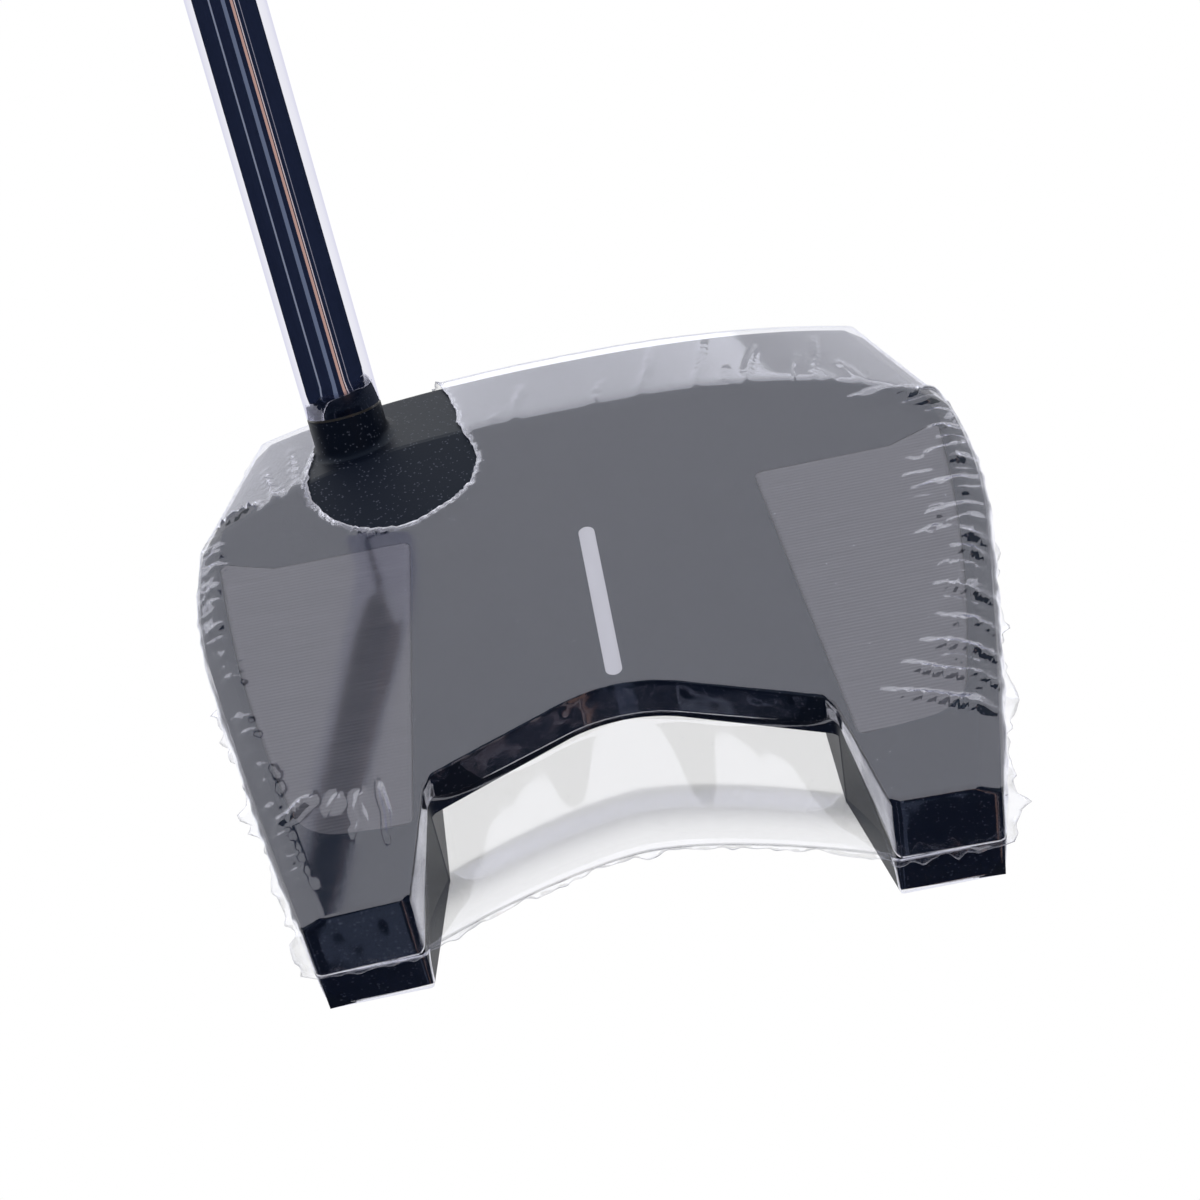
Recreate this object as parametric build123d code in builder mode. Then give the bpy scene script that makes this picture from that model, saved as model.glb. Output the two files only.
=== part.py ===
from build123d import *
import math
import os

# Mallet putter, right-handed: a winged head with two rear prongs, over-hosel bent shaft and grip.
#
# Frame, in millimetres: +X towards the toe, +Y towards the target, +Z up. The origin is on the
# ground at the middle of the sole's flat pad, with the head square and soled.

os.makedirs("parts", exist_ok=True)

# ---------------------------------------------------------------- driving dimensions
# Head form
face_y = 20.9            # face plane at mid height
face_loft = 3.0          # degrees that the face leans back
top_height = 23.5        # height of the top plane above the origin
top_fall = 4.0           # degrees that the top plane falls towards the rear
face_half = 42.3         # half width of the face
corner_x = 49.3          # ridge corner, where the shoulder meets the wing
corner_y = -5.0
ridge_y = 7.2            # ridge between top plane and front strip, on the centre line
topline_z = 22.0         # top edge of the face, on the centre line
topline_drop = 5.0       # how much lower the topline is at the ends of the face
prong_end_y = -67.6
prong_outer = 40.2       # prong end, outer and inner corners
prong_inner = 27.7
notch_x = 24.6           # corner between prong and centre shelf
notch_y = -50.9
notch_apex_y = -42.2     # middle of the shelf's rear edge
shelf_thick = 6.0
sole_flat_half = 24.0
sole_camber_radius = 62.0
sole_break_y = -24.0     # behind here the sole rises towards the prongs
rear_lift = 3.2          # height of the prongs' underside at their ends
ridge_radius = 2.5
topline_radius = 1.2
prong_radius = 1.0
side_bevel = (1.1, 2.4)  # bevel along the wings' top edges, down and in

# Wing panels
panel_thick = 1.2
panel_gap = 0.12
tape_thick = 0.2

# Sightline
sight_front = -15.1
sight_rear = -40.6
sight_width = 2.1
sight_depth = 0.5

# Face insert
insert_width = 66.0
insert_height = 14.0
insert_centre_z = 11.0
insert_thick = 4.0
insert_corner = 5.5

# Sole plate, damping pad and weights
plate_size = (36.0, 28.0)
plate_y = -2.0
plate_thick = 2.0
cavity_size = (26.0, 18.0)
cavity_height = 8.0
screw_spots = (15.0, 11.0)
screw_radius = 1.25
screw_head_radius = 2.4
screw_length = 7.0
weight_x = 28.5
weight_y = -6.0
weight_radius = 5.2
weight_head_radius = 7.0
weight_length = 8.0
weight_head_thick = 2.5
washer_thick = 0.8
hex_radius = 2.9         # key socket in each weight
hex_depth = 3.2
fit_gap = 0.05

# Hosel, shaft and grip
post_base = (-28.5, 11.8, 22.6)   # where the shaft's axis meets the front strip
post_lean = 25.0                  # degrees forward
post_side = 3.25                  # degrees towards the heel
post_depth = 12.0
post_radius = 4.3
collar_height = 3.9               # collar above the strip, along the axis
collar_root = 1.2                 # fillet at the collar's foot
spud_length = 26.0                # part of the post inside the shaft
bead_height = 0.35                # adhesive bead between collar and shaft
shaft_radius = 5.1
shaft_wall = 0.6
lower_length = 62.0
bend_radius = 60.0
lie_angle = 70.0
putter_length = 864.0             # 34 inches from the ground to the cap, along the shaft
butt_radius = 7.4
grip_length = 267.0
grip_tape_thick = 0.25
grip_mouth_radius = 11.0
grip_butt_radius = 14.5
grip_flat = 0.78                  # thumb side, as a share of the radius
cap_thick = 4.0

# Shrink film
film_inner = 0.1         # gap between head and film, and the film's outside
film_outer = 0.25
seam_z = 9.6             # height of the weld between upper and lower film at the rear
web_thick = 0.3
web_rear_y = -59.3       # film edge across the notch, on the centre line


def write(part, label):
    """Name a finished piece and write its STEP file."""
    part.label = label
    export_step(part, f"parts/{label}.step")


# ---------------------------------------------------------------- planes and axes
fall = math.radians(top_fall)
top_plane = Plane(origin=(0, 0, top_height), x_dir=(1, 0, 0), z_dir=(0, -math.sin(fall), math.cos(fall)))
tilt = math.radians(face_loft)
face_plane = Plane(
    origin=(0, face_y, insert_centre_z), x_dir=(-1, 0, 0), z_dir=(0, math.cos(tilt), math.sin(tilt))
)
lean, side = math.radians(post_lean), math.radians(post_side)
post_dir = Vector(-math.sin(side), math.cos(side) * math.sin(lean), math.cos(side) * math.cos(lean))
post_plane = Plane(origin=post_base, x_dir=(math.cos(side), 0, math.sin(side)), z_dir=post_dir)
lie = math.radians(lie_angle)
upper_dir = Vector(-math.cos(lie), 0, math.sin(lie))


def top_z(y):
    """Height of the top plane."""
    return top_height + math.tan(fall) * y


# ---------------------------------------------------------------- head form
def plan_outline(growth):
    """Sketch of the head seen from above: face, shoulders, wings, prongs and the notch between them."""
    with BuildSketch() as plan:
        with BuildLine():
            shoulder = Line((0, face_y + 1), (face_half, face_y + 1))
            flank = Line(shoulder @ 1, (corner_x, corner_y))
            wing_front = ThreePointArc(flank @ 1, (50.1, -15), (48.8, -28))
            wing_rear = ThreePointArc(wing_front @ 1, (45.4, -45), (prong_outer, prong_end_y - 0.4))
            prong = Line(wing_rear @ 1, (prong_inner, prong_end_y + 0.4))
            inner = Line(prong @ 1, (notch_x, notch_y))
            edge = Line(inner @ 1, (6.5, notch_apex_y - 1.1))
            apex = ThreePointArc(edge @ 1, (3.4, notch_apex_y - 0.3), (0, notch_apex_y))
            Line(apex @ 1, shoulder @ 0)
        make_face()
        mirror(about=Plane.YZ)
        notch_corners = plan.vertices().filter_by(lambda v: abs(abs(v.X) - notch_x) < 0.01)
        fillet(notch_corners, radius=1.5)
        if growth:
            offset(amount=growth)
    return plan.sketch


def head_form(growth):
    """The head's outside before any pocket is cut, grown all round by growth."""
    with BuildPart() as form:
        with BuildSketch(Plane.XY.offset(-5)):
            add(plan_outline(growth))
        extrude(amount=45)
        # Side profile: lofted face, flat sole, rising rear, falling top.
        with BuildSketch(Plane.YZ):
            with BuildLine():
                nose = face_y + math.tan(tilt) * insert_centre_z
                Polyline(
                    (nose - math.tan(tilt) * 34, 34),
                    (nose, 1.2),
                    (nose - 1.6, 0),
                    (sole_break_y, 0),
                    (prong_end_y, rear_lift),
                    (prong_end_y - 12, rear_lift + 1),
                    (prong_end_y - 12, top_z(prong_end_y - 12)),
                    (16, top_z(16)),
                    (nose - math.tan(tilt) * 34, 34),
                )
            make_face()
            if growth:
                offset(amount=growth, kind=Kind.INTERSECTION)
        extrude(amount=70, both=True, mode=Mode.INTERSECT)
        # Front profile: the sole curves up towards heel and toe.
        with BuildSketch(Plane.XZ):
            with BuildLine():
                Line((-sole_flat_half, -growth), (sole_flat_half, -growth))
                toe_curve = RadiusArc(
                    (sole_flat_half, -growth), (54, 8.2 - growth), -sole_camber_radius
                )
                Line(toe_curve @ 1, (54, 40))
                Line((54, 40), (-54, 40))
                heel_curve = RadiusArc(
                    (-54, 8.2 - growth), (-sole_flat_half, -growth), -sole_camber_radius
                )
                Line((-54, 40), heel_curve @ 0)
            make_face()
        extrude(amount=90, both=True, mode=Mode.INTERSECT)
        # Front strip: from the ridge down to the topline, lower towards heel and toe.
        for x in (-56, -40, -20, 0, 20, 40, 56):
            ridge = ridge_y - (ridge_y - corner_y) * abs(x / corner_x) ** 3
            topline = topline_z - topline_drop * abs(x / face_half) ** 2.3
            drop = (top_z(ridge) - topline) / (face_y - ridge)
            front_y = face_y + 6
            ridge_z = top_z(ridge) + growth / math.cos(fall)
            with BuildSketch(Plane.YZ.offset(x)):
                with BuildLine():
                    Polyline(
                        (ridge, ridge_z),
                        (front_y, ridge_z - drop * (front_y - ridge)),
                        (front_y, 45),
                        (ridge, 45),
                        (ridge, ridge_z),
                    )
                make_face()
        loft(mode=Mode.SUBTRACT)
        # Soft ridge and topline.
        for spot, radius in (
            ((0, ridge_y, top_z(ridge_y)), ridge_radius),
            ((0, face_y, topline_z), topline_radius),
        ):
            fillet(form.edges().sort_by_distance(spot)[0], radius=radius)
    return form.part


def panel_outline(growth):
    """Sketch of the toe wing panel on the top plane, grown by growth."""
    with BuildSketch(top_plane) as outline:
        with BuildLine():
            outer = ThreePointArc((47.0, -9.0), (45.1, -29), (40.6, -50.4))
            rear = ThreePointArc(outer @ 1, (38.4, -54.6), (34.0, -56.3))
            tail = Line(rear @ 1, (26.3, -56.9))
            inner = Line(tail @ 1, (22.4, -11.6))
            Polyline(inner @ 1, (40.0, -11.6), outer @ 0)
        make_face()
        fillet(outline.vertices().filter_by(lambda v: v.Y > -12.5 or v.X < 27), radius=1.0)
        if growth:
            offset(amount=growth)
    return outline.sketch


def side_chamfer_edges(part):
    """Top edges of both wings, from the shoulder to the prong's end."""
    top = part.faces().filter_by(lambda f: f.normal_at().Z > 0.99).sort_by(SortBy.AREA)[-1]
    return top.edges().filter_by(lambda e: abs(e.center().X) > 43 and e.center().Y < -10)


def collar_foot(part):
    """The curved edge where the collar meets the front strip."""
    near = part.edges().filter_by(lambda e: (e.center() - Vector(post_base)).length < 6)
    return near.filter_by(GeomType.BSPLINE)


# ---------------------------------------------------------------- head body
shelf_z = top_z(notch_apex_y) - shelf_thick
plate_bolts = [
    (side_x * screw_spots[0], plate_y + side_y * screw_spots[1])
    for side_x in (-1, 1)
    for side_y in (-1, 1)
]
weight_spots = [(-weight_x, weight_y), (weight_x, weight_y)]
weight_seat = 1.0        # the weights' heads end this far above the ground, clear of the sole's curve

with BuildPart() as head_body:
    add(head_form(0))
    # Hosel collar, blended into the front strip.
    with BuildSketch(post_plane.offset(-3)):
        Circle(shaft_radius)
    extrude(amount=3 + collar_height)
    fillet(collar_foot(head_body.part), radius=collar_root)
    # The centre is a shelf: its underside is cut away between the prongs.
    with BuildSketch(Plane.YZ):
        with BuildLine():
            Polyline(
                (sole_break_y, -1),
                (notch_apex_y + 1, shelf_z),
                (-58, shelf_z - 1.1),
                (-58, -1),
                (sole_break_y, -1),
            )
        make_face()
    extrude(amount=notch_x, both=True, mode=Mode.SUBTRACT)
    # Bevels along the wings, and soft top edges on the prongs' ends.
    chamfer(side_chamfer_edges(head_body.part), length=side_bevel[0], length2=side_bevel[1])
    for side_x in (-1, 1):
        prong_end = (side_x * (prong_outer + prong_inner) / 2, prong_end_y, top_z(prong_end_y))
        fillet(head_body.edges().sort_by_distance(prong_end)[0], radius=prong_radius)
    # Pockets in the top: wing panels and the sightline.
    add(panel_outline(panel_gap))
    extrude(amount=-(panel_thick + tape_thick), mode=Mode.SUBTRACT)
    add(mirror(panel_outline(panel_gap), about=Plane.YZ, mode=Mode.PRIVATE))
    extrude(amount=-(panel_thick + tape_thick), mode=Mode.SUBTRACT)
    with BuildSketch(top_plane):
        with Locations((0, (sight_front + sight_rear) / 2)):
            SlotOverall(sight_front - sight_rear, sight_width, rotation=90)
    extrude(amount=-sight_depth, mode=Mode.SUBTRACT)
    # Pocket in the face for the insert.
    with BuildSketch(face_plane):
        RectangleRounded(insert_width + 0.2, insert_height + 0.2, insert_corner + 0.1)
    extrude(amount=-(insert_thick + tape_thick), mode=Mode.SUBTRACT)
    # Sole: plate recess, damping cavity, screw holes and weight bores.
    with BuildSketch():
        with Locations((0, plate_y)):
            RectangleRounded(plate_size[0] + 0.2, plate_size[1] + 0.2, 3.1)
    extrude(amount=plate_thick, mode=Mode.SUBTRACT)
    with BuildSketch(Plane.XY.offset(plate_thick)):
        with Locations((0, plate_y)):
            RectangleRounded(*cavity_size, 3)
    extrude(amount=cavity_height, mode=Mode.SUBTRACT)
    with Locations(*[(x, y, plate_thick) for x, y in plate_bolts]):
        Cylinder(
            screw_radius + fit_gap,
            screw_length,
            align=(Align.CENTER, Align.CENTER, Align.MIN),
            mode=Mode.SUBTRACT,
        )
    with Locations(*[(x, y, -1) for x, y in weight_spots]):
        Cylinder(
            weight_head_radius + fit_gap,
            1 + weight_seat + weight_head_thick + washer_thick,
            align=(Align.CENTER, Align.CENTER, Align.MIN),
            mode=Mode.SUBTRACT,
        )
        Cylinder(
            weight_radius + fit_gap,
            1.5 + weight_seat + weight_head_thick + washer_thick + weight_length,
            align=(Align.CENTER, Align.CENTER, Align.MIN),
            mode=Mode.SUBTRACT,
        )
    # Bore for the post through the collar.
    with BuildSketch(post_plane.offset(-post_depth)):
        Circle(post_radius + fit_gap / 2)
    extrude(amount=post_depth + collar_height + 1, mode=Mode.SUBTRACT)
write(head_body.part, "head_body")

# ---------------------------------------------------------------- wing panels
with BuildPart() as toe_wing_panel:
    add(panel_outline(0))
    extrude(amount=-panel_thick)
with BuildPart() as toe_panel_tape:
    add(panel_outline(-0.6))
    extrude(amount=-panel_thick - tape_thick)
    split(bisect_by=top_plane.offset(-panel_thick), keep=Keep.BOTTOM)
write(toe_wing_panel.part, "toe_wing_panel")
write(toe_panel_tape.part, "toe_panel_tape")

with BuildPart() as heel_wing_panel:
    add(mirror(toe_wing_panel.part, about=Plane.YZ, mode=Mode.PRIVATE))
with BuildPart() as heel_panel_tape:
    add(mirror(toe_panel_tape.part, about=Plane.YZ, mode=Mode.PRIVATE))
write(heel_wing_panel.part, "heel_wing_panel")
write(heel_panel_tape.part, "heel_panel_tape")

# ---------------------------------------------------------------- sightline
with BuildPart() as sightline_fill:
    with BuildSketch(top_plane.offset(-0.05)):
        with Locations((0, (sight_front + sight_rear) / 2)):
            SlotOverall(sight_front - sight_rear - 0.04, sight_width - 0.04, rotation=90)
    extrude(amount=0.05 - sight_depth)
write(sightline_fill.part, "sightline_fill")

# ---------------------------------------------------------------- face insert
with BuildPart() as face_insert:
    with BuildSketch(face_plane):
        RectangleRounded(insert_width, insert_height, insert_corner)
    extrude(amount=-insert_thick)
    chamfer(face_insert.faces().sort_by(Axis.Y)[-1].edges(), length=0.25)
with BuildPart() as insert_tape:
    with BuildSketch(face_plane.offset(-insert_thick)):
        RectangleRounded(insert_width - 1.5, insert_height - 1.5, insert_corner - 0.75)
    extrude(amount=-tape_thick)
write(face_insert.part, "face_insert")
write(insert_tape.part, "insert_tape")

# ---------------------------------------------------------------- sole plate and damping pad
with BuildPart() as sole_plate:
    with BuildSketch():
        with Locations((0, plate_y)):
            RectangleRounded(*plate_size, 3)
    extrude(amount=plate_thick)
    with Locations(*[Location((x, y, 0), (180, 0, 0)) for x, y in plate_bolts]):
        CounterSinkHole(
            screw_radius + 0.15, screw_head_radius + 0.1, depth=plate_thick, counter_sink_angle=90
        )
write(sole_plate.part, "sole_plate")

with BuildPart() as damping_pad:
    with BuildSketch(Plane.XY.offset(plate_thick)):
        with Locations((0, plate_y)):
            RectangleRounded(cavity_size[0] - 0.6, cavity_size[1] - 0.6, 2.7)
    extrude(amount=cavity_height - 0.4)
    fillet(damping_pad.faces().sort_by(Axis.Z)[-1].edges(), radius=0.8)
write(damping_pad.part, "damping_pad")

with BuildPart() as sole_plate_screws:
    with BuildSketch(Plane.XZ) as screw_half:
        with BuildLine():
            head_depth = screw_head_radius - screw_radius
            Polyline(
                (0, 0.1),
                (screw_head_radius, 0.1),
                (screw_radius, 0.1 + head_depth),
                (screw_radius, plate_thick + screw_length - 0.6),
                (screw_radius - 0.5, plate_thick + screw_length - 0.1),
                (0, plate_thick + screw_length - 0.1),
                (0, 0.1),
            )
        make_face()
    with Locations(*[(x, y, 0) for x, y in plate_bolts]):
        add(revolve(screw_half.sketch, Axis.Z, mode=Mode.PRIVATE))
    with BuildSketch(Plane.XY.offset(0.1)):
        with Locations(*plate_bolts):
            RegularPolygon(0.95, 6)
    extrude(amount=0.9, mode=Mode.SUBTRACT)
write(sole_plate_screws.part, "sole_plate_screws")

# ---------------------------------------------------------------- sole weights
seat_z = weight_seat + weight_head_thick
for label, (x, y) in zip(("heel", "toe"), weight_spots):
    with BuildPart() as sole_weight:
        with BuildSketch(Plane.XY.offset(weight_seat)):
            with Locations((x, y)):
                Circle(weight_head_radius - 0.1)
        extrude(amount=weight_head_thick)
        chamfer(sole_weight.faces().sort_by(Axis.Z)[0].edges(), length=0.5)
        with BuildSketch(Plane.XY.offset(seat_z)):
            with Locations((x, y)):
                Circle(weight_radius)
        extrude(amount=washer_thick + weight_length)
        chamfer(sole_weight.faces().sort_by(Axis.Z)[-1].edges(), length=0.6)
        with BuildSketch(Plane.XY.offset(weight_seat)):
            with Locations((x, y)):
                RegularPolygon(hex_radius, 6)
        extrude(amount=hex_depth, mode=Mode.SUBTRACT)
    write(sole_weight.part, f"{label}_sole_weight")
    with BuildPart() as weight_washer:
        with BuildSketch(Plane.XY.offset(seat_z)):
            with Locations((x, y)):
                Circle(weight_head_radius - 0.3)
                Circle(weight_radius + 0.05, mode=Mode.SUBTRACT)
        extrude(amount=washer_thick)
    write(weight_washer.part, f"{label}_weight_washer")

# ---------------------------------------------------------------- hosel post and its adhesive
collar_top = post_plane.offset(collar_height)
with BuildPart() as hosel_post:
    with BuildSketch(post_plane.offset(-post_depth)):
        Circle(post_radius)
    extrude(amount=post_depth + collar_height + spud_length)
    chamfer(hosel_post.faces().sort_by(Axis.Z)[-1].edges(), length=0.8)
write(hosel_post.part, "hosel_post")

with BuildPart() as shaft_bond:
    with BuildSketch(collar_top):
        Circle(shaft_radius - 0.12)
        Circle(post_radius, mode=Mode.SUBTRACT)
    extrude(amount=bead_height)
    with BuildSketch(collar_top.offset(bead_height)):
        Circle(shaft_radius - shaft_wall)
        Circle(post_radius, mode=Mode.SUBTRACT)
    extrude(amount=spud_length - bead_height - 1)
write(shaft_bond.part, "shaft_bond")

# ---------------------------------------------------------------- shaft
shaft_start = collar_top.offset(bead_height)
bend_angle = math.radians(post_dir.get_angle(upper_dir))
bend_start = shaft_start.origin + post_dir * lower_length
toward = (upper_dir - post_dir * post_dir.dot(upper_dir)).normalized()
bend_centre = bend_start + toward * bend_radius
bend_end = (
    bend_centre
    - toward * bend_radius * math.cos(bend_angle)
    + post_dir * bend_radius * math.sin(bend_angle)
)
bend_middle = (
    bend_centre
    - toward * bend_radius * math.cos(bend_angle / 2)
    + post_dir * bend_radius * math.sin(bend_angle / 2)
)
across = Vector(0, 1, 0).cross(upper_dir).normalized()   # thumb side of the grip
upper_length = putter_length - bend_end.Z / math.sin(lie) - cap_thick


def along_upper(distance):
    """Plane across the straight upper shaft, this far above the end of the bend."""
    return Plane(origin=bend_end + upper_dir * distance, x_dir=across, z_dir=upper_dir)


def upper_radius(distance):
    """Outer radius of the tapered upper shaft."""
    return shaft_radius + (butt_radius - shaft_radius) * distance / upper_length


with BuildPart() as shaft:
    with BuildLine() as lower_path:
        Line(shaft_start.origin, bend_start)
        ThreePointArc(bend_start, bend_middle, bend_end)
    with BuildSketch(shaft_start):
        Circle(shaft_radius)
        Circle(shaft_radius - shaft_wall, mode=Mode.SUBTRACT)
    sweep(path=lower_path.wires()[0])
    for wall, mode in ((0, Mode.ADD), (shaft_wall, Mode.SUBTRACT)):
        for distance in (0, upper_length):
            with BuildSketch(along_upper(distance)):
                Circle(upper_radius(distance) - wall)
        loft(mode=mode)
write(shaft.part, "shaft")

# ---------------------------------------------------------------- grip
grip_start = upper_length - grip_length + cap_thick


def grip_section(distance, radius, swell):
    """D-shaped section of the grip: round at the back, flat on the thumb side."""
    flat_x = radius * grip_flat
    flat_y = radius * math.sqrt(1 - grip_flat**2)
    with BuildSketch(along_upper(distance)) as section:
        with BuildLine():
            ThreePointArc((flat_x, -flat_y), (-radius - swell, 0), (flat_x, flat_y))
            Line((flat_x, flat_y), (flat_x, -flat_y))
        make_face()
        fillet(section.vertices(), radius=1.8)
    return section.sketch


with BuildPart() as grip_tape:
    tape_end = upper_length - 6
    for layer, mode in ((grip_tape_thick, Mode.ADD), (0, Mode.SUBTRACT)):
        for distance in (grip_start + 12, tape_end):
            with BuildSketch(along_upper(distance)):
                Circle(upper_radius(distance) + layer)
        loft(mode=mode)
write(grip_tape.part, "grip_tape")

with BuildPart() as grip:
    for share, radius, swell in (
        (0, grip_mouth_radius, 0),
        (0.35, 12.2, 0.4),
        (0.7, 13.2, 1.6),
        (0.88, grip_butt_radius, 3.2),
        (1, grip_butt_radius, 2.0),
    ):
        add(grip_section(grip_start + share * (upper_length - grip_start), radius, swell))
    loft()
    for distance in (grip_start - 1, upper_length + 1):
        with BuildSketch(along_upper(distance)):
            Circle(upper_radius(distance) + grip_tape_thick + 0.02)
    loft(mode=Mode.SUBTRACT)
write(grip.part, "grip")

with BuildPart() as grip_cap:
    add(grip_section(upper_length, grip_butt_radius, 2.0))
    extrude(amount=cap_thick)
    fillet(grip_cap.faces().sort_by(Axis.Z)[-1].edges(), radius=1.6)
    with BuildSketch(along_upper(upper_length)):
        Circle(butt_radius - shaft_wall - 0.2)
    extrude(amount=-8)
    with BuildSketch(along_upper(upper_length + cap_thick + 1)):
        Circle(1.1)
    extrude(amount=-(cap_thick + 10), mode=Mode.SUBTRACT)
write(grip_cap.part, "grip_cap")

# ---------------------------------------------------------------- shrink film
with BuildPart() as film_web:
    # The notch seen from above, closed by the film's concave rear edge.
    with BuildSketch():
        with BuildLine():
            apex = ThreePointArc(
                (-6.5, notch_apex_y - 1.4), (0, notch_apex_y - 0.3), (6.5, notch_apex_y - 1.4)
            )
            toe_side = Polyline(
                apex @ 1, (notch_x - 0.3, notch_y - 0.3), (prong_inner - 0.3, prong_end_y + 0.4)
            )
            rear = Spline(
                toe_side @ 1,
                (14, web_rear_y - 2.8),
                (0, web_rear_y),
                (-14, web_rear_y - 2.8),
                (0.3 - prong_inner, prong_end_y + 0.4),
            )
            Polyline(rear @ 1, (0.3 - notch_x, notch_y - 0.3), apex @ 0)
        make_face()
    extrude(amount=30)
    # Its slope, from the shelf's rear edge down to the weld.
    with BuildSketch(Plane.YZ):
        with BuildLine():
            upper = [(notch_apex_y + 2, shelf_z + 2.8), (web_rear_y + 2, seam_z), (prong_end_y - 2, seam_z)]
            lower = [(y, z - web_thick) for y, z in reversed(upper)]
            Polyline(*upper, *lower, upper[0])
        make_face()
    extrude(amount=30, both=True, mode=Mode.INTERSECT)

with BuildPart() as shrink_film:
    add(head_form(film_outer))
    add(head_form(film_inner), mode=Mode.SUBTRACT)
    # Torn window round the hosel, open over the topline.
    with BuildSketch(Plane.XY.offset(15)):
        with BuildLine():
            front = Line((-33.5, face_y + 3), (-14.5, face_y + 3))
            Spline(front @ 1, (-12.3, 2.5), (-19.7, -7), (-29, -8.4), (-34.2, 0.5), front @ 0)
        make_face()
    extrude(amount=20, mode=Mode.SUBTRACT)
    add(film_web.part)
write(shrink_film.part, "shrink_film")
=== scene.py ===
import math

import bmesh
import bpy
import numpy as np
from mathutils import Matrix, Vector


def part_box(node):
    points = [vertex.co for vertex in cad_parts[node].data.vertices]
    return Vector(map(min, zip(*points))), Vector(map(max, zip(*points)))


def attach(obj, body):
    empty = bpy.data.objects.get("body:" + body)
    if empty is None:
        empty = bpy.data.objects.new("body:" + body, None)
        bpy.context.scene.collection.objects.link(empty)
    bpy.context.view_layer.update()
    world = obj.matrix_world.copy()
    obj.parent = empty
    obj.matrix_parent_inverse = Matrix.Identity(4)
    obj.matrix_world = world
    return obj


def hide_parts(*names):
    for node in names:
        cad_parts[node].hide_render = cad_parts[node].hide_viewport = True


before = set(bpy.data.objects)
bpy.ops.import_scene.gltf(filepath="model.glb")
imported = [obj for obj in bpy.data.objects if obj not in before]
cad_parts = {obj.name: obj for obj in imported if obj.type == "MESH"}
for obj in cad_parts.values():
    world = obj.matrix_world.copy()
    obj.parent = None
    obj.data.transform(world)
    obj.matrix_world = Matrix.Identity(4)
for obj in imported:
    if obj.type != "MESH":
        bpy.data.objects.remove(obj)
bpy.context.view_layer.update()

# A right-handed mallet putter, new, with the clear shrink film still on its head. Metres, +X towards the
# toe, +Y towards the target, +Z up, and the origin on the ground at the middle of the sole's flat pad.

# ---------------------------------------------------------------- view and studio
# The golfer's side of the head, from behind and above, close enough for the head to fill the picture while
# the shaft leaves it at the top left. The camera is turned a little about its own axis.
MM = 0.001
view_height = math.radians(43.0)
view_turn = math.radians(11.3)
view_distance = 310 * MM
view_aim = Vector((0, -28 * MM, 21.5 * MM))
forward = Vector((0, math.cos(view_height), -math.sin(view_height)))
level = Vector((1, 0, 0))
upright = level.cross(forward)
right = math.cos(view_turn) * level - math.sin(view_turn) * upright
up = math.sin(view_turn) * level + math.cos(view_turn) * upright
camera = bpy.data.objects.new("camera", bpy.data.cameras.new("camera"))
camera.data.lens = 75.36
camera.data.sensor_width = 36
camera.data.clip_start = 0.01
axes = Matrix((right, up, -forward)).transposed()
camera.matrix_world = Matrix.Translation(view_aim - view_distance * forward) @ axes.to_4x4()
bpy.context.scene.collection.objects.link(camera)
bpy.context.scene.camera = camera
bpy.context.scene.view_settings.view_transform = "Standard"
# A line of sight can cross many layers of film, and it has to come out behind the last of them.
bpy.context.scene.cycles.transparent_max_bounces = 32

# A pale floor that bounces light up but isn't seen, so the club stands in an even white sky with no shadow.
# A dark surround with a few coloured bands is behind the camera, open towards the target. Only reflections
# see it: the chrome's middle, the prongs' ends and the film mirror it.
floor_half = 6.0
floor_corners = [(-floor_half, -floor_half, 0), (floor_half, -floor_half, 0)]
floor_corners += [(floor_half, floor_half, 0), (-floor_half, floor_half, 0)]
floor_mesh = bpy.data.meshes.new("floor")
floor_mesh.from_pydata(floor_corners, [], [(0, 1, 2, 3)])
floor = bpy.data.objects.new("floor", floor_mesh)
floor.visible_camera = False
floor.visible_glossy = False
bpy.context.scene.collection.objects.link(floor)


def grid_faces(rows, columns, closed=False):
    """Four-sided faces of a grid of points numbered row by row; closed joins last column to first."""
    across = columns if closed else columns - 1
    row, column = np.meshgrid(np.arange(rows - 1), np.arange(across), indexing="ij")
    here, next_row = row * columns, (row + 1) * columns
    after = (column + 1) % columns
    corners = (here + column, here + after, next_row + after, next_row + column)
    return np.stack([corner.ravel() for corner in corners], axis=1)


def reflected_dome(name, radius, first, last, height):
    """A stretch of dome behind the camera that only reflections see: azimuth from first to last, measured
    from -Y towards +X, and elevation to height above and below level, all in degrees."""
    turns = np.radians(np.linspace(first, last, 49))
    rises = np.radians(np.linspace(-height, height, 33))
    azimuth, elevation = np.meshgrid(turns, rises, indexing="ij")
    level_way = radius * np.cos(elevation)
    x, y, z = np.sin(azimuth) * level_way, -np.cos(azimuth) * level_way, radius * np.sin(elevation)
    points = np.stack([x, y, z], axis=2)
    mesh = bpy.data.meshes.new(name)
    mesh.from_pydata(points.reshape(-1, 3).tolist(), [], grid_faces(*points.shape[:2]).tolist())
    card = bpy.data.objects.new(name, mesh)
    for kind in ("camera", "diffuse", "transmission", "volume_scatter", "shadow"):
        setattr(card, f"visible_{kind}", False)
    bpy.context.scene.collection.objects.link(card)
    return card


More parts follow.
